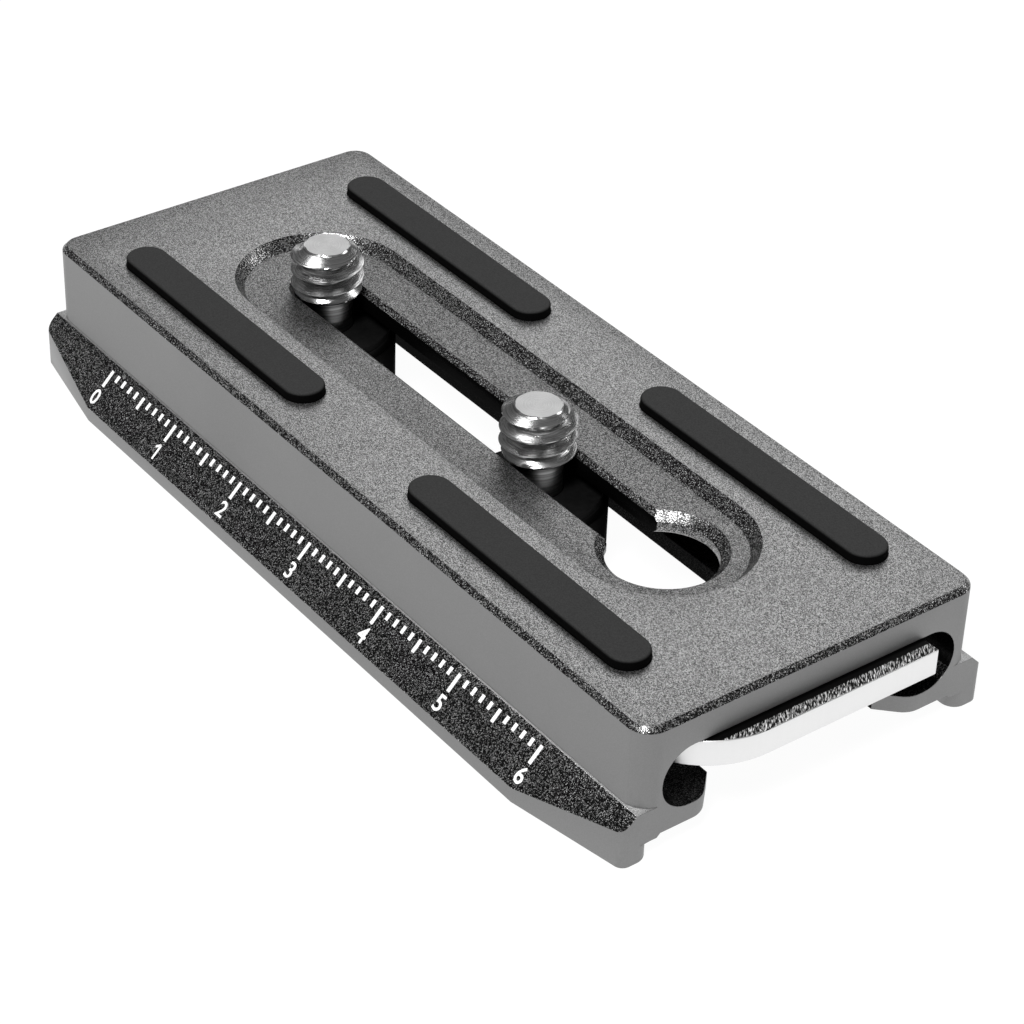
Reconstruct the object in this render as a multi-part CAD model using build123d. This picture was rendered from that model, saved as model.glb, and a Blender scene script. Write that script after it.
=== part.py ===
from build123d import *
from math import asin, cos, radians, sin, tan
import os

os.makedirs("parts", exist_ok=True)

# Quick release plate for a tripod head, in millimetres.
# X runs along the plate towards the end that holds the key, +Z is up towards the camera.
# The origin is the middle of the dovetail, in the plane of its feet.

# Plate and dovetail
plate_length = 80.6
plate_height = 11.45
wall_width = 31.5
wall_corner = 1.9
top_chamfer = 0.43
dovetail_width = 38.0
dovetail_edge = 1.3
dovetail_ledge = 0.15
taper_length = 10.3
taper_depth = 2.0
dovetail_corner = 0.8

# Underside and T channel
foot_width = 4.6
foot_corner = 1.2
step_width = 0.45
step_rise = 1.5
lip_rise = 1.8
lip_thickness = 1.5
mouth_width = 15.8
mouth_lead = 2.0
mouth_corner = 2.0
channel_width = 27.5
channel_height = 5.34

# Recess, screw slot and keyhole in the top
recess_radius = 7.33
recess_slope = 0.8
recess_depth = 1.03
slot_reach = 22.8
slot_width = 4.8
slot_chamfer = 0.45
keyhole_diameter = 8.7
keyhole_chamfer = 0.75
keyhole_relief = 0.3

# Rubber grip strips
pad_length = 27.3
pad_width = 3.5
pad_inset = 6.0
pad_offset = 11.15
pad_groove = 0.5
pad_proud = 0.8
pad_edge = 0.25
pad_clearance = 0.03

# Camera screws, their washers and the slots in their heads
thread_diameter = 6.12
thread_length = 4.33
tip_diameter = 3.6
tip_height = 0.85
shoulder_gap = 0.05
shank_diameter = 4.3
shank_length = 3.7
head_diameter = 11.5
head_height = 5.0
head_edge = 0.4
head_slot_depth = 1.8
head_slot_clearance = 0.35
washer_diameter = 10.6
washer_thickness = 0.6
washer_clearance = 0.08
rear_screw_x = -22.1
front_screw_x = 7.25

# Flat key and the magnets that hold it
key_thickness = 2.25
key_reach = 1.55
key_shift = 0.6
key_corner = 8.0
key_corner_run = 6.2
key_top_gap = 0.15
key_head_gap = 0.4
magnet_diameter = 5.0
magnet_thickness = 1.2
magnet_spacing = 11.0
magnet_clearance = 0.03

# Heights and places worked out from the sizes above
slope_top = dovetail_edge + (dovetail_width - wall_width) / 2 - dovetail_ledge
channel_floor = lip_rise + lip_thickness
channel_top = channel_floor + channel_height
channel_middle = channel_floor + channel_height / 2
recess_floor = plate_height - recess_depth
foot_inner = dovetail_width / 2 - foot_width
half_length = plate_length / 2
key_top = channel_top - key_top_gap
key_bottom = key_top - key_thickness
key_back = slot_reach + head_diameter / 2 + key_head_gap
magnet_x = (key_back + half_length) / 2


def mirrored_polygon(points):
    """Face symmetric about Y = 0, drawn from its +Y half."""
    other_side = [(-y, z) for y, z in reversed(points)]
    return make_face(Polyline(*points, *other_side, close=True))


def along_plate(section, length=plate_length):
    """Extrudes a YZ section by the given length, half each way from the middle."""
    on_yz = Plane.YZ * section
    return extrude(on_yz, amount=length / 2, both=True)


def plate_section():
    """Cross-section of the plate: dovetail outside, T channel inside."""
    outline = mirrored_polygon([
        (wall_width / 2, plate_height),
        (wall_width / 2, slope_top),
        (wall_width / 2 + dovetail_ledge, slope_top),
        (dovetail_width / 2, dovetail_edge),
        (dovetail_width / 2, 0),
        (foot_inner, 0),
        (foot_inner, step_rise),
        (foot_inner - step_width, step_rise),
        (foot_inner - step_width - lip_rise + step_rise, lip_rise),
    ])
    channel = Pos(0, channel_middle) * SlotOverall(channel_width, channel_height)
    mouth_height = channel_middle - lip_rise / 2
    mouth = Pos(0, channel_middle - mouth_height / 2) * Rectangle(mouth_width, mouth_height)
    return outline - channel - mouth


def dovetail_plan():
    """Plan of the dovetail, with its sides drawn in at both ends for easy entry."""
    half_width = dovetail_width / 2
    corner = (half_length, half_width - taper_depth)
    kink = (half_length - taper_length, half_width)
    quarter = [corner, kink]
    other_end = [(-x, y) for x, y in reversed(quarter)]
    far_side = quarter + other_end
    near_side = [(x, -y) for x, y in reversed(far_side)]
    plan = make_face(Polyline(*far_side, *near_side, close=True))
    ends = [v for v in plan.vertices() if abs(v.X) > half_length - taper_length / 2]
    return fillet(ends, dovetail_corner)


def end_cut(edge, lead, turn, radius):
    """Plan of a cut beside the +X end: an optional slant, then a corner rounded through a turn."""
    half_turn = radians(turn / 2)
    run = radius * tan(half_turn)
    corner = edge + lead
    on_end = (half_length, corner + run)
    on_side = (half_length - run * sin(2 * half_turn), corner - run * cos(2 * half_turn))
    middle = (half_length - radius + radius * cos(half_turn), corner + run - radius * sin(half_turn))
    outside = half_length + radius
    sides = [on_end, (outside, corner + run), (outside, edge)]
    if lead > 0:
        sides.append((half_length - lead, edge))
    return make_face([Polyline(*sides, on_side), ThreePointArc(on_side, middle, on_end)])


def entry_cuts():
    """Cuts at both ends: slanted lead-ins between the lips, rounded inner corners on the feet."""
    mouth = extrude(end_cut(mouth_width / 2, mouth_lead, 45, mouth_corner), amount=channel_middle)
    foot = extrude(end_cut(foot_inner, 0, 90, foot_corner), amount=step_rise)
    cuts = []
    for cut in (mouth, foot):
        pair = [cut, mirror(cut, Plane.XZ)]
        cuts += pair + [mirror(one, Plane.YZ) for one in pair]
    return cuts


def plate_blank():
    """Extruded bar milled to its plan outline, with the T channel right through."""
    bar = along_plate(plate_section())
    lower = extrude(dovetail_plan(), amount=slope_top)
    upper_plan = Pos(0, 0, slope_top) * RectangleRounded(plate_length, wall_width, wall_corner)
    upper = extrude(upper_plan, amount=plate_height - slope_top)
    top_edges = upper.faces().sort_by(Axis.Z)[-1].edges()
    upper = chamfer(top_edges, top_chamfer)
    return (bar & lower) + (bar & upper)


def recess():
    """Shallow stadium-shaped pocket with slanting walls."""
    top = Pos(0, 0, plate_height) * SlotCenterToCenter(2 * slot_reach, 2 * recess_radius)
    floor_radius = recess_radius - recess_slope
    floor = Pos(0, 0, recess_floor) * SlotCenterToCenter(2 * slot_reach, 2 * floor_radius)
    return loft([floor, top])


def screw_slot():
    """Slot for the screw shanks with its chamfered edge, cut through the recess floor."""
    depth = recess_floor - channel_middle
    through = Pos(0, 0, channel_middle) * SlotCenterToCenter(2 * slot_reach, slot_width)
    wide = Pos(0, 0, recess_floor) * SlotCenterToCenter(2 * slot_reach, slot_width + 2 * slot_chamfer)
    narrow = Pos(0, 0, recess_floor - slot_chamfer) * SlotCenterToCenter(2 * slot_reach, slot_width)
    return extrude(through, amount=depth) + loft([narrow, wide])


def keyhole():
    """Round hole at the end of the slot, turned as one profile: chamfer, bore and relief."""
    radius = keyhole_diameter / 2
    wide = radius + keyhole_chamfer
    relief = radius + keyhole_relief
    profile = make_face(Polyline(
        (0, channel_middle),
        (relief, channel_middle),
        (relief, channel_top),
        (radius, channel_top + keyhole_relief),
        (radius, recess_floor - keyhole_chamfer),
        (wide, recess_floor),
        (0, recess_floor),
        close=True,
    ))
    return Pos(slot_reach, 0, 0) * revolve(Plane.XZ * profile, Axis.Z)


def pad_places():
    """Centres of the four grip strips in plan."""
    x = half_length - pad_inset - pad_length / 2
    return {
        "pad_left_rear": (-x, -pad_offset),
        "pad_left_front": (x, -pad_offset),
        "pad_right_rear": (-x, pad_offset),
        "pad_right_front": (x, pad_offset),
    }


def magnet_places():
    """Centres of the two magnets in plan."""
    return {
        "key_magnet_left": (magnet_x, -magnet_spacing / 2),
        "key_magnet_right": (magnet_x, magnet_spacing / 2),
    }


def plate_body():
    """The whole milled plate."""
    plate = plate_blank() - recess() - screw_slot() - keyhole()
    for cut in entry_cuts():
        plate -= cut
    groove = SlotOverall(pad_length + 2 * pad_clearance, pad_width + 2 * pad_clearance)
    for x, y in pad_places().values():
        plate -= extrude(Pos(x, y, plate_height - pad_groove) * groove, amount=pad_groove)
    pocket = Circle(magnet_diameter / 2 + magnet_clearance)
    for x, y in magnet_places().values():
        start = channel_middle
        plate -= extrude(Pos(x, y, start) * pocket, amount=channel_top + magnet_thickness - start)
    return plate


def grip_pad():
    """Rubber strip with round ends and softened top edge, standing on its groove's floor."""
    strip = extrude(SlotOverall(pad_length, pad_width), amount=pad_groove + pad_proud)
    top_edges = strip.faces().sort_by(Axis.Z)[-1].edges()
    return fillet(top_edges, pad_edge)


def screw_profile():
    """Half section of a camera screw from its head up to its tip, on the screw's axis."""
    shoulder = recess_floor + shoulder_gap
    head_top = shoulder - shank_length
    head_bottom = head_top - head_height
    tip = shoulder + thread_length
    head_radius = head_diameter / 2
    return make_face(Polyline(
        (0, head_bottom),
        (head_radius - head_edge, head_bottom),
        (head_radius, head_bottom + head_edge),
        (head_radius, head_top - head_edge),
        (head_radius - head_edge, head_top),
        (shank_diameter / 2, head_top),
        (shank_diameter / 2, shoulder),
        (thread_diameter / 2, shoulder),
        (thread_diameter / 2, tip - tip_height),
        (tip_diameter / 2, tip),
        (0, tip),
        close=True,
    ))


def camera_screw():
    """Captive screw: slotted head, thin shank and a wider threaded end."""
    screw = revolve(Plane.XZ * screw_profile(), Axis.Z)
    head_bottom = recess_floor + shoulder_gap - shank_length - head_height
    slot_size = key_thickness + head_slot_clearance
    slot = Box(head_diameter, slot_size, head_slot_depth, align=(Align.CENTER, Align.CENTER, Align.MIN))
    return screw - Pos(0, 0, head_bottom) * slot


def washer():
    """Flat ring that lies on the screw's head."""
    ring = Circle(washer_diameter / 2) - Circle(shank_diameter / 2 + washer_clearance)
    head_top = recess_floor + shoulder_gap - shank_length
    return extrude(Pos(0, 0, head_top) * ring, amount=washer_thickness)


def flat_key():
    """Flat steel key with one large round corner, held against the channel's ceiling."""
    half_width = (channel_width - channel_height) / 2
    left = -half_width - key_shift
    right = half_width - key_shift
    front = half_length + key_reach
    centre = (front - key_corner, left + key_corner_run)
    sweep = -asin(key_corner_run / key_corner)
    arc_points = [
        (centre[0] + key_corner * cos(turn), centre[1] + key_corner * sin(turn))
        for turn in (sweep, sweep / 2, 0)
    ]
    corner = ThreePointArc(*arc_points)
    rest = Polyline(arc_points[2], (front, right), (key_back, right), (key_back, left), arc_points[0])
    outline = make_face([corner, rest])
    return extrude(Pos(0, 0, key_bottom) * outline, amount=key_thickness)


def magnet():
    """Small disc magnet, flush with the channel's ceiling."""
    return extrude(Pos(0, 0, channel_top) * Circle(magnet_diameter / 2), amount=magnet_thickness)


def parts():
    """Every piece of the plate by its name, in place."""
    pieces = {"plate_body": plate_body(), "flat_key": flat_key()}
    for name, (x, y) in pad_places().items():
        pieces[name] = Pos(x, y, plate_height - pad_groove) * grip_pad()
    for name, (x, y) in magnet_places().items():
        pieces[name] = Pos(x, y, 0) * magnet()
    for end, x in (("rear", rear_screw_x), ("front", front_screw_x)):
        pieces[end + "_screw"] = Pos(x, 0, 0) * camera_screw()
        pieces[end + "_washer"] = Pos(x, 0, 0) * washer()
    return pieces


for name, piece in parts().items():
    export_step(piece, f"parts/{name}.step")
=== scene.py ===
import bpy
import bmesh
from math import hypot, pi, radians
from mathutils import Euler, Matrix, Vector


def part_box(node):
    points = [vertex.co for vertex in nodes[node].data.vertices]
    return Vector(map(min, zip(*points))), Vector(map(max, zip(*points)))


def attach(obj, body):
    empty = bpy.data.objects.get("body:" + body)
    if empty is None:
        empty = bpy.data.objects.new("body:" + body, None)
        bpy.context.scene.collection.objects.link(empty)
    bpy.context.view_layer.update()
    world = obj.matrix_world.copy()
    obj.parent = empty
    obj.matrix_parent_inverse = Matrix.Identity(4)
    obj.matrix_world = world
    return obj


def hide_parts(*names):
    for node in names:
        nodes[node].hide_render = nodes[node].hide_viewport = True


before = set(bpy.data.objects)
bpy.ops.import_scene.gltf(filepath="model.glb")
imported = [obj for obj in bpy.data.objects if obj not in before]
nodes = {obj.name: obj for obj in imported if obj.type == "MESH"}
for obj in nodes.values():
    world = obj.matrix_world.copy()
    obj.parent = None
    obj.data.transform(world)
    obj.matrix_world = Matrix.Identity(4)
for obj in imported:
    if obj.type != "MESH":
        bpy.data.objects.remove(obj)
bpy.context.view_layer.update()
mm = 0.001

plateLow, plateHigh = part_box("plate_body")
plate = {
    "slopeTop": 4.4 * mm,          # the dovetail's slope ends here, under the wall
    "slopeFoot": 1.3 * mm,
    "slopeOuter": -19.0 * mm,      # y of the slope's lower edge on the scale side
    "recessFloor": plateHigh.z - 1.03 * mm,
    "channelTop": 8.64 * mm,
    "channelHalf": 13.75 * mm,
    "lipUnderside": 1.8 * mm,
    "keyholeX": 22.8 * mm,
    "keyholeReach": 5.3 * mm,
    "slotHalf": 7 * mm,            # the slot's walls lie within this, and short of the ends
    "slotEnds": 3 * mm,
    "endReach": 2.5 * mm,
    "near": 0.1 * mm,              # room when a face's height or place is judged
    "level": 0.98,                 # Z of a normal that counts as flat
    "edgeSoftness": 0.05 * mm,
}
joining = {"reach": 0.002 * mm, "flatness": 0.4}     # degrees


# The camera stands at the photo's angle

camera = {
    "place": (0.16094026, -0.12063318, 0.14092483),
    "turn": (55.0818664, -1.64434567, 53.54320874),
    "lens": 106.489,
    "sensor": 36,
    "nearest": 0.01,
    "farthest": 20,
}


def makeCamera():
    data = bpy.data.cameras.new("camera")
    data.lens = camera["lens"]
    data.sensor_width = camera["sensor"]
    data.clip_start = camera["nearest"]
    data.clip_end = camera["farthest"]
    eye = bpy.data.objects.new("camera", data)
    eye.location = camera["place"]
    eye.rotation_euler = Euler([radians(angle) for angle in camera["turn"]], "XYZ")
    bpy.context.scene.collection.objects.link(eye)
    bpy.context.scene.camera = eye


makeCamera()
print("camera placed")


# Studio: a pale floor, soft lamps and a dim, even world

studio = {
    "floorSize": 3.0,
    "floorColour": (0.8, 0.8, 0.8, 1),
    "floorGlow": 0.92,             # share of the floor that shows plain white
    "floorWhite": 1.05,
    "worldLight": 0.12,
}
lamps = {
    "backSoftbox": {"place": (-0.39, 0.41, 0.50), "size": 0.60, "watts": 1.3},
    "topSoftbox": {"place": (-0.16, -0.17, 0.55), "size": 0.22, "watts": 0.6},
    "frontSoftbox": {"place": (0.34, -0.53, 0.91), "size": 0.26, "watts": 11.0},
    "sideSoftbox": {"place": (0.15, 0.50, 0.24), "size": 0.20, "watts": 0.5},
}


def seenAsWhite(tree, share):
    # share for camera, glossy and transmission rays, nothing for the rest
    path = tree.nodes.new("ShaderNodeLightPath")
    total = path.outputs["Is Camera Ray"]
    for kind in ("Is Glossy Ray", "Is Transmission Ray"):
        either = tree.nodes.new("ShaderNodeMath")
        either.operation = "MAXIMUM"
        tree.links.new(total, either.inputs[0])
        tree.links.new(path.outputs[kind], either.inputs[1])
        total = either.outputs[0]
    part = tree.nodes.new("ShaderNodeMath")
    part.operation = "MULTIPLY"
    part.inputs[1].default_value = share
    tree.links.new(total, part.inputs[0])
    return part.outputs[0]


def makeFloor():
    material = bpy.data.materials.new("paleFloor")
    material.use_nodes = True
    tree = material.node_tree
    tree.nodes.clear()
    cloth = tree.nodes.new("ShaderNodeBsdfDiffuse")
    cloth.inputs["Color"].default_value = studio["floorColour"]
    glow = tree.nodes.new("ShaderNodeEmission")
    glow.inputs["Strength"].default_value = studio["floorWhite"]
    mix = tree.nodes.new("ShaderNodeMixShader")
    out = tree.nodes.new("ShaderNodeOutputMaterial")
    tree.links.new(seenAsWhite(tree, studio["floorGlow"]), mix.inputs["Fac"])
    tree.links.new(cloth.outputs[0], mix.inputs[1])
    tree.links.new(glow.outputs[0], mix.inputs[2])
    tree.links.new(mix.outputs[0], out.inputs["Surface"])
    bm = bmesh.new()
    bmesh.ops.create_grid(bm, x_segments=1, y_segments=1, size=studio["floorSize"] / 2)
    mesh = bpy.data.meshes.new("floor")
    bm.to_mesh(mesh)
    bm.free()
    mesh.materials.append(material)
    floor = bpy.data.objects.new("floor", mesh)
    bpy.context.scene.collection.objects.link(floor)


def makeWorld():
    world = bpy.data.worlds.new("studio")
    world.use_nodes = True
    shade = world.node_tree.nodes["Background"]
    shade.inputs["Color"].default_value = (1, 1, 1, 1)
    shade.inputs["Strength"].default_value = studio["worldLight"]
    bpy.context.scene.world = world


def makeLamps():
    for name, lamp in lamps.items():
        data = bpy.data.lights.new(name, "AREA")
        data.energy = lamp["watts"]
        data.shape = "SQUARE"
        data.size = lamp["size"]
        light = bpy.data.objects.new(name, data)
        light.location = lamp["place"]
        aim = Vector(lamp["place"])
        light.rotation_euler = aim.to_track_quat("Z", "Y").to_euler()
        bpy.context.scene.collection.objects.link(light)


bpy.context.scene.view_settings.view_transform = "Standard"
makeFloor()
makeWorld()
makeLamps()
print("studio lit")


# Finishes

def newMaterial(name, colour, roughness, metallic):
    material = bpy.data.materials.new(name)
    material.use_nodes = True
    tree = material.node_tree
    shader = tree.nodes["Principled BSDF"]
    shader.inputs["Base Color"].default_value = (*colour, 1)
    shader.inputs["Roughness"].default_value = roughness
    shader.inputs["Metallic"].default_value = metallic
    return material, tree, shader


def objectPlace(tree, centre=(0, 0, 0), stretch=(1, 1, 1), turn=0):
    # the piece's own coordinates, centred, turned about Z and stretched
    place = tree.nodes.new("ShaderNodeTexCoord")
    mapping = tree.nodes.new("ShaderNodeMapping")
    mapping.vector_type = "TEXTURE"
    mapping.inputs["Location"].default_value = centre
    mapping.inputs["Rotation"].default_value = (0, 0, radians(turn))
    mapping.inputs["Scale"].default_value = stretch
    tree.links.new(place.outputs["Object"], mapping.inputs["Vector"])
    return mapping.outputs["Vector"]


def grain(tree, vector, size, detail=2.0, roughness=0.6):
    # noise whose lumps are about size metres across
    noise = tree.nodes.new("ShaderNodeTexNoise")
    noise.inputs["Scale"].default_value = 1 / size
    noise.inputs["Detail"].default_value = detail
    noise.inputs["Roughness"].default_value = roughness
    tree.links.new(vector, noise.inputs["Vector"])
    return noise.outputs["Fac"]


def spread(tree, source, low, high, fromLow=0.3, fromHigh=0.7):
    # carries a noise's middle range over to low..high
    ramp = tree.nodes.new("ShaderNodeMapRange")
    ramp.inputs["From Min"].default_value = fromLow
    ramp.inputs["From Max"].default_value = fromHigh
    ramp.inputs["To Min"].default_value = low
    ramp.inputs["To Max"].default_value = high
    tree.links.new(source, ramp.inputs["Value"])
    return ramp.outputs["Result"]


def combine(tree, operation, first, second):
    node = tree.nodes.new("ShaderNodeMath")
    node.operation = operation
    tree.links.new(first, node.inputs[0])
    tree.links.new(second, node.inputs[1])
    return node.outputs[0]


def tint(tree, shader, source, dark, light, low=0.3, high=0.7):
    ramp = tree.nodes.new("ShaderNodeValToRGB")
    ramp.color_ramp.elements[0].position = low
    ramp.color_ramp.elements[0].color = (*dark, 1)
    ramp.color_ramp.elements[1].position = high
    ramp.color_ramp.elements[1].color = (*light, 1)
    tree.links.new(source, ramp.inputs["Fac"])
    tree.links.new(ramp.outputs["Color"], shader.inputs["Base Color"])


def bump(tree, shader, source, depth):
    relief = tree.nodes.new("ShaderNodeBump")
    relief.inputs["Distance"].default_value = depth
    tree.links.new(source, relief.inputs["Height"])
    tree.links.new(relief.outputs["Normal"], shader.inputs["Normal"])


blasting = {
    "top": {"dark": 0.09, "light": 0.56, "roughness": 0.36, "depth": 0.016 * mm,
            "low": 0.30, "high": 0.86, "stroke": (1.5, 1, 1), "turn": -26},
    # painted shade and painted glints: the slope, the chamfers and the keyhole's bore have a near-black
    # base that stands in for their dark reflection, and sparse white, less metallic specks that stand in
    # for glints
    "slope": {"dark": 0.018, "light": 1.00, "roughness": 0.28, "depth": 0.014 * mm,
              "low": 0.62, "high": 0.95, "matt": 0.70, "grain": 0.062 * mm},
    "edge": {"dark": 0.03, "light": 0.95, "roughness": 0.27, "depth": 0.014 * mm,
             "low": 0.58, "high": 0.99, "matt": 0.45, "grain": 0.060 * mm},
    "bore": {"dark": 0.05, "light": 0.80, "roughness": 0.34, "depth": 0.014 * mm,
             "low": 0.50, "high": 0.85, "matt": 0.40},
    # painted shade: the downward faces are darker than the walls
    "under": {"dark": 0.06, "light": 0.20, "roughness": 0.44, "depth": 0.012 * mm,
              "low": 0.30, "high": 0.75},
    "wall": {"dark": 0.225, "light": 0.245, "roughness": 0.34, "depth": 0.0004 * mm},
    "end": {"dark": 0.255, "light": 0.275, "roughness": 0.52, "depth": 0.0004 * mm},
    # painted highlight: the narrow flat strip where the slope meets the wall is lighter, a bright line
    # along the wall's foot
    "paintedHighlightLedge": {"dark": 0.35, "light": 0.55, "roughness": 0.50, "depth": 0.001 * mm},
    "floor": {"dark": 0.05, "light": 0.46, "roughness": 0.38, "depth": 0.014 * mm,
              "low": 0.34, "high": 0.90, "stroke": (1.5, 1, 1), "turn": -26},
    # painted shade: the lips' tops inside the channel are near black, with sparse lighter specks
    "lip": {"dark": 0.01, "light": 0.45, "roughness": 0.34, "depth": 0.014 * mm,
            "low": 0.56, "high": 0.96},
    # painted shade: the slot's walls and the channel are near black, and their specular tint is lowered
    # so that they reflect little
    "slotWall": {"dark": 0.010, "light": 0.018, "roughness": 0.36, "depth": 0.002 * mm, "paintedShadeSpecular": 0.15},
    "channel": {"dark": 0.006, "light": 0.03, "roughness": 0.34, "depth": 0.006 * mm,
                "low": 0.55, "high": 0.90, "paintedShadeSpecular": 0.15},
}
blast = {
    "grain": 0.052 * mm,
    "metal": 0.92,
    "reliefGrain": 1.3,            # times the grain
    "cloud": 9 * mm,
    "cloudRoughness": 0.03,
}


def specks(tree, vector, size):
    # a lot between 0 and 1 for each small cell, most of them near the middle
    cells = tree.nodes.new("ShaderNodeTexVoronoi")
    cells.inputs["Scale"].default_value = 1 / size
    tree.links.new(vector, cells.inputs["Vector"])
    return cells.outputs["Color"]


def anodised(name, look):
    # bead-blasted and anodised aluminium, a neutral gun-metal grey; some kinds of face carry painted
    # shade, painted glints and a painted highlight in their colour
    roughness = look["roughness"]
    material, tree, shader = newMaterial(name, (0.3, 0.3, 0.3), roughness, blast["metal"])
    place = objectPlace(tree, stretch=look.get("stroke", (1, 1, 1)), turn=look.get("turn", 0))
    low = look.get("low", 0.3)
    high = look.get("high", 0.7)
    size = look.get("grain", blast["grain"])
    lots = specks(tree, place, size)
    tint(tree, shader, lots, [look["dark"]] * 3, [look["light"]] * 3, low, high)
    # painted glints: the brightest specks turn less metallic, so they show white
    if "matt" in look:
        metal = spread(tree, lots, blast["metal"], look["matt"], low, high)
        tree.links.new(metal, shader.inputs["Metallic"])
    # painted shade: a low specular tint dims the reflection of these faces
    if "paintedShadeSpecular" in look:
        shader.inputs["Specular Tint"].default_value = [look["paintedShadeSpecular"]] * 3 + [1]
    cloudy = grain(tree, place, blast["cloud"])
    drift = blast["cloudRoughness"]
    tree.links.new(spread(tree, cloudy, roughness - drift, roughness + drift),
                   shader.inputs["Roughness"])
    bump(tree, shader, grain(tree, place, blast["reliefGrain"] * size), look["depth"])
    return material


rubber = {
    # painted shade: the side faces are near black
    "sides": 0.002,
    "light": 0.027,
    "roughness": 0.72,
    "grain": 0.10 * mm,
    "depth": 0.012 * mm,
    "sideUpTo": 0.3,               # Z of the normal, up to which a face is a side
    "topFrom": 0.95,
    "lightAt": 0.7,
    "sideShine": 0.03,
    "topShine": 0.35,
}


def gripRubber():
    material, tree, shader = newMaterial("gripRubber", (0.015, 0.015, 0.015), rubber["roughness"], 0)
    place = objectPlace(tree)
    fine = grain(tree, place, rubber["grain"])
    facing = tree.nodes.new("ShaderNodeSeparateXYZ")   # painted shade: the side faces are blacker than the top, and reflect less
    tree.links.new(tree.nodes["Texture Coordinate"].outputs["Normal"], facing.inputs[0])
    upwards = spread(tree, facing.outputs["Z"], 0, 1, rubber["sideUpTo"], rubber["topFrom"])
    shade = combine(tree, "MULTIPLY", fine, upwards)
    tint(tree, shader, shade, [rubber["sides"]] * 3, [rubber["light"]] * 3, 0, rubber["lightAt"])
    bump(tree, shader, fine, rubber["depth"])
    # painted shade: the side faces also reflect less than the top
    shine = spread(tree, upwards, rubber["sideShine"], rubber["topShine"], 0, 1)
    tree.links.new(shine, shader.inputs["Specular IOR Level"])
    return material


turning = {
    "thread": {"dark": 0.14, "light": 1.00, "roughness": 0.16, "ring": 0.08 * mm, "depth": 0.009 * mm,
               "grooveShade": 0.80},
    "tip": {"dark": 0.26, "light": 0.72, "roughness": 0.28, "ring": 0.05 * mm, "depth": 0.006 * mm},
    # painted shade: the shank's steel is darker than the thread's, for the shade in the slot
    "shank": {"dark": 0.08, "light": 0.34, "roughness": 0.30, "ring": 0.30 * mm, "depth": 0.006 * mm},
    # painted shade: the head's steel is near black and reflects little, standing in for the head's shade
    # under the plate
    "head": {"dark": 0.010, "light": 0.02, "roughness": 0.40, "ring": 0.30 * mm, "depth": 0.006 * mm,
             "paintedShadeSpecular": 0.1},
    "face": {"dark": 0.30, "light": 0.50, "roughness": 0.34, "ring": 0.20 * mm, "depth": 0.006 * mm},
}
lathe = {
    "ringDetail": 3.0,
    "ringRoughness": 0.65,
    "fadeUnderTip": 0.1 * mm,
    "duller": 0.08,                # roughness added in dark rings, and taken off in light ones
    "brighter": 0.04,
    "anisotropy": 0.75,
}


def turnedSteel(name, axisX, look, tipStart):
    # lathe marks: one noise over the distance from the axis and the height
    roughness = look["roughness"]
    material, tree, shader = newMaterial(name, (0.7, 0.7, 0.7), roughness, 1.0)
    place = objectPlace(tree, centre=(axisX, 0, 0))
    split = tree.nodes.new("ShaderNodeSeparateXYZ")
    tree.links.new(place, split.inputs[0])
    flat = tree.nodes.new("ShaderNodeCombineXYZ")
    tree.links.new(split.outputs["X"], flat.inputs["X"])
    tree.links.new(split.outputs["Y"], flat.inputs["Y"])
    length = tree.nodes.new("ShaderNodeVectorMath")
    length.operation = "LENGTH"
    tree.links.new(flat.outputs[0], length.inputs[0])
    rings = tree.nodes.new("ShaderNodeCombineXYZ")
    tree.links.new(length.outputs["Value"], rings.inputs["X"])
    tree.links.new(split.outputs["Z"], rings.inputs["Z"])
    marks = grain(tree, rings.outputs[0], look["ring"], lathe["ringDetail"], lathe["ringRoughness"])
    if "grooveShade" in look:      # darker towards the thread's root, below the bevelled tip
        outwards = spread(tree, length.outputs["Value"], look["grooveShade"], 1.0,
                          thread["root"], thread["crest"])
        cone = spread(tree, split.outputs["Z"], 0, 1, tipStart - lathe["fadeUnderTip"], tipStart)
        marks = combine(tree, "MULTIPLY", marks, combine(tree, "MAXIMUM", outwards, cone))
    tint(tree, shader, marks, [look["dark"]] * 3, [look["light"]] * 3)
    tree.links.new(spread(tree, marks, roughness + lathe["duller"], roughness - lathe["brighter"]),
                   shader.inputs["Roughness"])
    bump(tree, shader, marks, look["depth"])
    # painted shade: a low specular tint dims the reflection
    if "paintedShadeSpecular" in look:
        shader.inputs["Specular Tint"].default_value = [look["paintedShadeSpecular"]] * 3 + [1]
    shader.inputs["Anisotropic"].default_value = lathe["anisotropy"]
    around = tree.nodes.new("ShaderNodeTangent")
    around.direction_type = "RADIAL"
    around.axis = "Z"
    tree.links.new(around.outputs[0], shader.inputs["Tangent"])
    return material


keyFinish = {
    "side": {"dark": 0.86, "light": 0.87, "roughness": 0.40, "depth": 0.001 * mm, "grain": 0.25 * mm,
             "stroke": (1, 1, 8), "low": 0.3, "high": 0.7},
    # painted shade and painted glints: the key's top is near black with white, less metallic streaks, and
    # darker still away from its front edge
    "face": {"dark": 0.03, "light": 0.85, "roughness": 0.30, "depth": 0.012 * mm, "grain": 0.11 * mm,
             "stroke": (5, 0.6, 1), "turn": -38, "low": 0.50, "high": 0.61, "matt": 0.1,
             "paintedShadeEndsAt": 40.75 * mm, "paintedShadeFade": 0.15 * mm, "paintedShadeLevel": 0.35},
}


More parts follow.
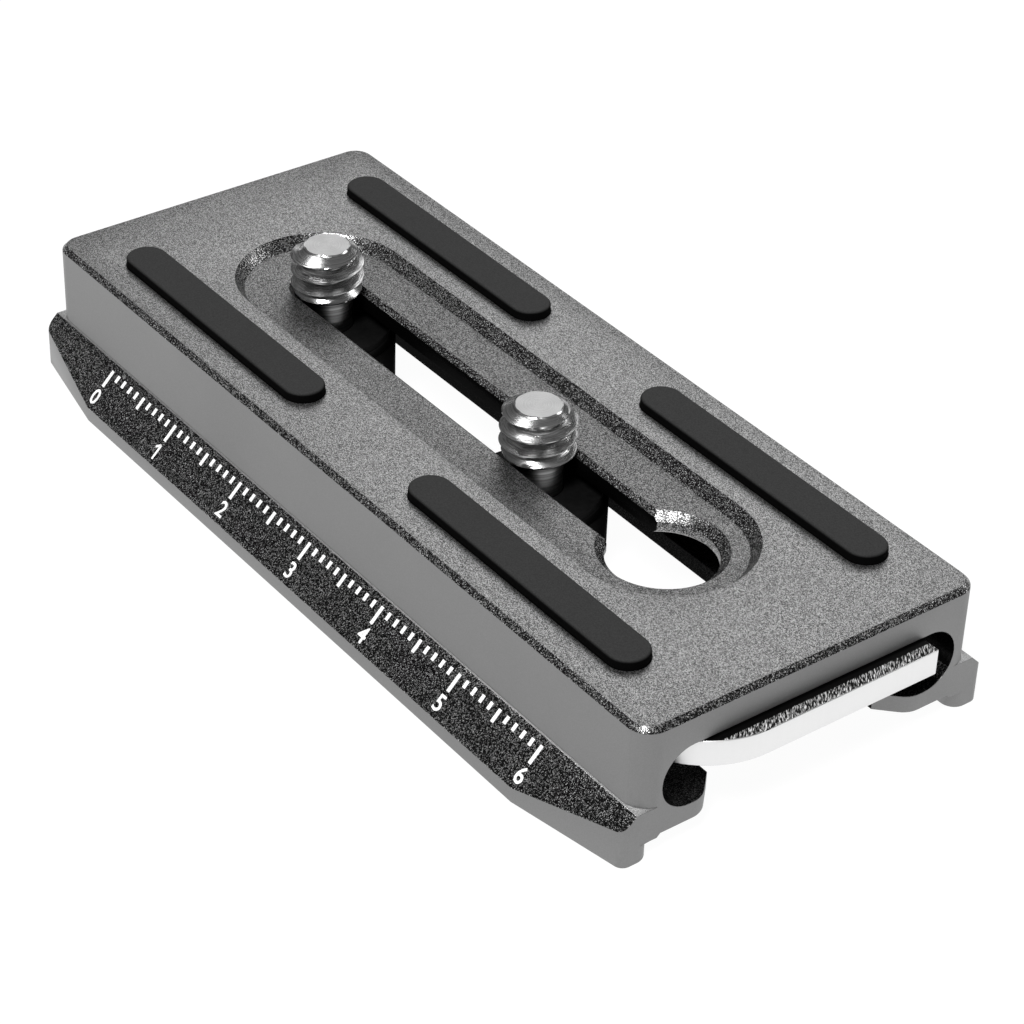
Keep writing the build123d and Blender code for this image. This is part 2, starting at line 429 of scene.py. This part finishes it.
def groundSteel(name, look):
    # ground spring steel, its marks drawn out along the stroke
    material, tree, shader = newMaterial(name, (0.8, 0.8, 0.8), look["roughness"], 1.0)
    place = objectPlace(tree, stretch=look["stroke"], turn=look.get("turn", 0))
    lines = grain(tree, place, look["grain"])
    if "paintedShadeEndsAt" in look:       # painted shade: the top is darker away from its front edge, where it goes into the shade of the channel
        along = tree.nodes.new("ShaderNodeSeparateXYZ")
        tree.links.new(objectPlace(tree), along.inputs[0])
        edge = spread(tree, along.outputs["X"], look["paintedShadeLevel"], 1.0,
                      look["paintedShadeEndsAt"], look["paintedShadeEndsAt"] + look["paintedShadeFade"])
        lines = combine(tree, "MULTIPLY", lines, edge)
    tint(tree, shader, lines, [look["dark"]] * 3, [look["light"]] * 3, look["low"], look["high"])
    if "matt" in look:
        metal = spread(tree, lines, 1.0, look["matt"], look["low"], look["high"])
        tree.links.new(metal, shader.inputs["Metallic"])
    bump(tree, shader, lines, look["depth"])
    return material


washerNylon = {"dark": 0.003, "light": 0.006, "roughness": 0.6, "shine": 0.1, "grain": 0.4 * mm,
               "depth": 0.01 * mm}


def nylon():
    look = washerNylon
    material, tree, shader = newMaterial("blackNylon", (0.004, 0.004, 0.004), look["roughness"], 0)
    shader.inputs["Specular IOR Level"].default_value = look["shine"]
    fine = grain(tree, objectPlace(tree), look["grain"])
    tint(tree, shader, fine, [look["dark"]] * 3, [look["light"]] * 3)
    bump(tree, shader, fine, look["depth"])
    return material


magnetNickel = {"colour": (0.66, 0.64, 0.60), "roughness": 0.2, "smooth": 0.14, "dull": 0.30,
                "grain": 0.6 * mm, "depth": 0.004 * mm}


def nickel():
    look = magnetNickel
    material, tree, shader = newMaterial("nickelPlate", look["colour"], look["roughness"], 1.0)
    fine = grain(tree, objectPlace(tree), look["grain"])
    tree.links.new(spread(tree, fine, look["smooth"], look["dull"]), shader.inputs["Roughness"])
    bump(tree, shader, fine, look["depth"])
    return material


scaleInk = {"dark": 0.75, "light": 1.0, "roughness": 0.55, "low": 0.30, "high": 0.48,
            "grain": 0.12 * mm, "detail": 3.0, "depth": 0.01 * mm}


def scalePrint():
    # white print, a little thin where the blasting shows through
    look = scaleInk
    material, tree, shader = newMaterial("scalePrint", (0.9, 0.9, 0.9), look["roughness"], 0)
    fine = grain(tree, objectPlace(tree), look["grain"], look["detail"])
    tint(tree, shader, fine, [look["dark"]] * 3, [look["light"]] * 3, look["low"], look["high"])
    bump(tree, shader, fine, look["depth"])
    return material


# Shared modelling steps

def mergedCopy(name):
    # a CAD node's loose triangles joined up, with its flat faces whole again
    bm = bmesh.new()
    bm.from_mesh(nodes[name].data)
    bmesh.ops.remove_doubles(bm, verts=bm.verts, dist=joining["reach"])
    bmesh.ops.dissolve_limit(bm, angle_limit=radians(joining["flatness"]), verts=bm.verts, edges=bm.edges)
    return bm


def softenEdges(bm, width, segments=2, sharpest=24):
    sharp = [e for e in bm.edges if e.is_manifold and e.calc_face_angle() > radians(sharpest)]
    bmesh.ops.bevel(bm, geom=sharp, offset=width, offset_type="OFFSET", affect="EDGES",
                    segments=segments, profile=0.5, material=-1, clamp_overlap=False)


def finishPiece(name, bm, materials, body, smoothAngle=24):
    mesh = bpy.data.meshes.new(name)
    bm.to_mesh(mesh)
    bm.free()
    for material in materials:
        mesh.materials.append(material)
    mesh.shade_smooth()
    mesh.set_sharp_from_angle(angle=radians(smoothAngle))
    piece = bpy.data.objects.new(name, mesh)
    bpy.context.scene.collection.objects.link(piece)
    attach(piece, body)
    return piece


# The milled plate, a finish for each kind of face, some with painted shade, painted glints and a painted
# highlight

def finishOfFace(face):
    n = face.normal
    c = face.calc_center_median()
    near = plate["near"]
    level = n.z > plate["level"]
    fromHole = hypot(c.x - plate["keyholeX"], c.y)
    inChannel = abs(c.y) < plate["channelHalf"] + near and c.z < plate["channelTop"] + near
    if c.z > plate["recessFloor"] - 0.2 * near and level:
        return "top" if c.z > plateHigh.z - near else "floor"
    if n.x * c.x > 0 and abs(n.x) > 0.3 and abs(n.z) < 0.2 and abs(c.x) > plateHigh.x - plate["endReach"]:
        return "end"
    if c.z < plate["recessFloor"] and fromHole < plate["keyholeReach"] and abs(n.z) < plate["level"]:
        return "edge" if n.z > 0.2 else "bore"
    if inChannel:
        if c.z < plate["lipUnderside"] + near and n.z < -0.3:
            return "under"
        return "lip" if n.z > 0.5 else "channel"
    if n.z < -0.2:
        return "under"
    if c.z < plate["slopeTop"] + near / 2 and n.z > 0.2:
        return "paintedHighlightLedge" if level else "slope"
    if n.z > 0.2:
        return "edge"
    if abs(c.y) < plate["slotHalf"] and abs(c.x) < plateHigh.x - plate["slotEnds"]:
        return "slotWall"
    return "wall"


def makePlate():
    bm = mergedCopy("plate_body")
    kinds = list(blasting)
    for face in bm.faces:
        face.material_index = kinds.index(finishOfFace(face))
    softenEdges(bm, plate["edgeSoftness"])
    for vert in bm.verts:
        for axis in range(3):
            vert.co[axis] = min(max(vert.co[axis], plateLow[axis]), plateHigh[axis])
    materials = [anodised("anodised_" + kind, blasting[kind]) for kind in kinds]
    piece = finishPiece("milled_plate", bm, materials, "plate")
    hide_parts("plate_body")


makePlate()
print("plate finished")


# The scale printed on the dovetail's slope

scale = {
    "firstX": -30 * mm,
    "step": 1 * mm,
    "count": 61,
    "tickStart": 0.6 * mm,         # distance down the slope
    "tickWidth": 0.34 * mm,
    "small": 0.64 * mm,
    "middle": 1.14 * mm,
    "long": 1.6 * mm,
    "numberAt": 3.3 * mm,
    "numberSize": 1.9 * mm,
    "numberHeight": 1.36 * mm,
    "stroke": 0.22 * mm,
    "boldness": 0.015 * mm,
    "thickness": 0.02 * mm,
    "perNumber": 10,               # ticks from one number to the next
    "perMiddle": 5,
    "flagAt": (-0.17, 0.36),       # the figure 1's flag, in shares of its height
    "flagLength": 0.42,
    "flagTurn": -52,
}


def onSlope(x, down):
    # a place on the slope, with Y up the slope and Z out of it
    top = Vector((x, plate["slopeOuter"] + (plate["slopeTop"] - plate["slopeFoot"]), plate["slopeTop"]))
    upSlope = Vector((0, 1, 1)).normalized()
    place = top - upSlope * down
    axes = Matrix((Vector((1, 0, 0)), upSlope, Vector((0, -1, 1)).normalized())).transposed()
    return Matrix.Translation(place) @ axes.to_4x4()


def addTick(bm, index):
    length = scale["small"]
    if index % scale["perNumber"] == 0:
        length = scale["long"]
    elif index % scale["perMiddle"] == 0:
        length = scale["middle"]
    made = bmesh.ops.create_cube(bm, size=1)["verts"]
    shape = Matrix.Diagonal((scale["tickWidth"], length, scale["thickness"], 1))
    place = onSlope(scale["firstX"] + index * scale["step"], scale["tickStart"] + length / 2)
    bmesh.ops.transform(bm, verts=made, matrix=place @ shape)


def addOne(bm, x):
    # the figure 1 as a stem with a short slanting flag
    height = scale["numberHeight"]
    stroke = scale["stroke"]
    across, up = scale["flagAt"]
    slanted = Matrix.Rotation(radians(scale["flagTurn"]), 4, "Z")
    flag = Matrix.Translation((across * height, up * height, 0)) @ slanted
    for shape, length in ((Matrix.Identity(4), height), (flag, scale["flagLength"] * height)):
        made = bmesh.ops.create_cube(bm, size=1)["verts"]
        size = Matrix.Diagonal((stroke, length, scale["thickness"], 1))
        bmesh.ops.transform(bm, verts=made, matrix=onSlope(x, scale["numberAt"]) @ shape @ size)


def addNumber(bm, value):
    if value == 1:
        addOne(bm, scale["firstX"] + scale["perNumber"] * scale["step"])
        return
    text = bpy.data.curves.new("number", "FONT")
    text.offset = scale["boldness"]
    text.body = str(value)
    text.size = scale["numberSize"]
    text.extrude = scale["thickness"] / 2
    text.bevel_depth = scale["boldness"]
    text.align_x = "CENTER"
    text.align_y = "CENTER"
    holder = bpy.data.objects.new("number", text)
    bpy.context.scene.collection.objects.link(holder)
    bpy.context.view_layer.update()
    mesh = bpy.data.meshes.new_from_object(holder)
    x = scale["firstX"] + scale["perNumber"] * value * scale["step"]
    mesh.transform(onSlope(x, scale["numberAt"]))
    bm.from_mesh(mesh)
    bpy.data.objects.remove(holder)
    bpy.data.curves.remove(text)
    bpy.data.meshes.remove(mesh)


def makeScale():
    material = scalePrint()
    bm = bmesh.new()
    for index in range(scale["count"]):
        addTick(bm, index)
    finishPiece("scale_ticks", bm, [material], "plate")
    bm = bmesh.new()
    for value in range(scale["count"] // scale["perNumber"] + 1):
        addNumber(bm, value)
    finishPiece("scale_numbers", bm, [material], "plate")


makeScale()
print("scale printed")


# Camera screws with a real thread

thread = {
    "pitch": 1.27 * mm,
    "crest": 3.06 * mm,
    "root": 2.18 * mm,
    "crestFlat": 0.05 * mm,
    "rootFlat": 0.12 * mm,
    "length": 4.33 * mm,
    "tipRadius": 1.8 * mm,
    "tipHeight": 0.85 * mm,
    "runOut": 1.0 * mm,
    "footBevel": 0.4 * mm,
    "headHeight": 5.0 * mm,
    "headRadius": 5.75 * mm,
    "lift": {"rear": 0, "front": 0.25 * mm},
    "flankCurve": 1.3,
    "turns": 7,
    "steps": 72,
    "joinReach": 0.004 * mm,
    "runOutFill": 0.75,            # how far the run-out fills the groove
    "cutUnder": 0.001 * mm,
    "slotShare": 0.8,              # share of the head's radius that is plain face
    "near": 0.1 * mm,
    "edgeSoftness": 0.06 * mm,
    "smoothAngle": 26,
}


def threadProfile():
    # one pitch of the thread, from crest to crest: (radius, height)
    flank = (thread["pitch"] - thread["crestFlat"] - thread["rootFlat"]) / 2
    depth = thread["crest"] - thread["root"]
    curve = thread["flankCurve"]
    shares = (0, 0.25, 0.5, 0.75, 1.0)
    rows = [(thread["crest"], 0)]
    for share in shares:
        rows.append((thread["crest"] - depth * share, thread["crestFlat"] + flank * share ** curve))
    for share in reversed(shares):
        rows.append((thread["crest"] - depth * share, thread["pitch"] - flank * share ** curve))
    return rows


def threadedEnd(x, bottom, lift):
    # one pitch of profile spun up the screw, then trimmed to its length, run out and bevelled
    top = bottom + thread["length"]
    bm = bmesh.new()
    below = bottom - 2 * thread["pitch"] + lift
    verts = [bm.verts.new((x + radius, 0, below + height)) for radius, height in threadProfile()]
    edges = [bm.edges.new(pair) for pair in zip(verts, verts[1:])]
    turns = thread["turns"]
    bmesh.ops.spin(bm, geom=verts + edges, cent=(x, 0, 0), axis=(0, 0, 1), angle=2 * pi * turns,
                   dvec=(0, 0, thread["pitch"] / thread["steps"]), steps=thread["steps"] * turns)
    bmesh.ops.remove_doubles(bm, verts=bm.verts, dist=thread["joinReach"])
    slant = (thread["crest"] - thread["tipRadius"]) / thread["tipHeight"]
    for vert in bm.verts:
        across = vert.co.xy - Vector((x, 0))
        up = vert.co.z - bottom
        runOut = min(thread["runOutFill"], max(0, 1 - up / thread["runOut"]))
        radius = max(across.length, thread["root"] + (thread["crest"] - thread["root"]) * runOut)
        tipLimit = thread["tipRadius"] + (top - vert.co.z) * slant
        footLimit = thread["crest"] - max(0, thread["footBevel"] - up)
        radius = max(thread["tipRadius"], min(radius, tipLimit, footLimit))
        vert.co.xy = Vector((x, 0)) + across * (radius / across.length)
    for height, direction in ((top, 1), (bottom, -1)):
        everything = bm.verts[:] + bm.edges[:] + bm.faces[:]
        cut = bmesh.ops.bisect_plane(bm, geom=everything, plane_co=(0, 0, height),
                                     plane_no=(0, 0, direction), clear_outer=True)
        rim = [g for g in cut["geom_cut"] if isinstance(g, bmesh.types.BMEdge)]
        bmesh.ops.holes_fill(bm, edges=rim)
    bmesh.ops.recalc_face_normals(bm, faces=bm.faces)
    return bm


def makeScrew(end):
    node = end + "_screw"
    low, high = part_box(node)
    x = (low.x + high.x) / 2
    shoulder = high.z - thread["length"]
    bm = mergedCopy(node)
    everything = bm.verts[:] + bm.edges[:] + bm.faces[:]
    bmesh.ops.bisect_plane(bm, geom=everything, plane_co=(0, 0, shoulder - thread["cutUnder"]),
                           plane_no=(0, 0, 1), clear_outer=True)
    softenEdges(bm, thread["edgeSoftness"])
    bmesh.ops.holes_fill(bm, edges=[edge for edge in bm.edges if edge.is_boundary])
    kinds = list(turning)
    headTop = low.z + thread["headHeight"]
    for face in bm.faces:
        c = face.calc_center_median()
        inside = hypot(c.x - x, c.y) < thread["slotShare"] * thread["headRadius"]
        kind = "shank"
        if c.z < headTop:
            kind = "face" if face.normal.z < -0.3 or inside else "head"
        if c.z > headTop - thread["near"] and face.normal.z > 0.3:
            kind = "head"
        face.material_index = kinds.index(kind)
    spun = threadedEnd(x, shoulder, thread["lift"][end])
    mesh = bpy.data.meshes.new("spun")
    spun.to_mesh(mesh)
    spun.free()
    bm.from_mesh(mesh)
    bpy.data.meshes.remove(mesh)
    for face in bm.faces:
        if face.normal.z > plate["level"] and face.calc_center_median().z > high.z - thread["near"] / 2:
            face.material_index = kinds.index("tip")
    tipStart = high.z - thread["tipHeight"]
    materials = [turnedSteel(kind + "Steel_" + end, x, look, tipStart) for kind, look in turning.items()]
    piece = finishPiece(end + "_camera_screw", bm, materials, node, thread["smoothAngle"])
    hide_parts(node)


for end in ("rear", "front"):
    makeScrew(end)
print("screws threaded")


# Grip strips, washers, key and magnets

flatKey = {"edgeSoftness": 0.12 * mm, "edgeSegments": 3}


def dressNode(name, material):
    mesh = nodes[name].data
    mesh.materials.clear()
    mesh.materials.append(material)


def makeKey():
    bm = mergedCopy("flat_key")
    for face in bm.faces:
        face.material_index = 1 if abs(face.normal.z) > 0.5 else 0
    softenEdges(bm, flatKey["edgeSoftness"], flatKey["edgeSegments"])
    materials = [groundSteel("keySteel_" + kind, look) for kind, look in keyFinish.items()]
    piece = finishPiece("ground_key", bm, materials, "key")
    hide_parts("flat_key")


makeKey()
rubberMaterial = gripRubber()
nylonMaterial = nylon()
nickelMaterial = nickel()
for side in ("left", "right"):
    dressNode("key_magnet_" + side, nickelMaterial)
    for end in ("rear", "front"):
        dressNode("pad_" + side + "_" + end, rubberMaterial)
for end in ("rear", "front"):
    dressNode(end + "_washer", nylonMaterial)
print("small pieces finished")
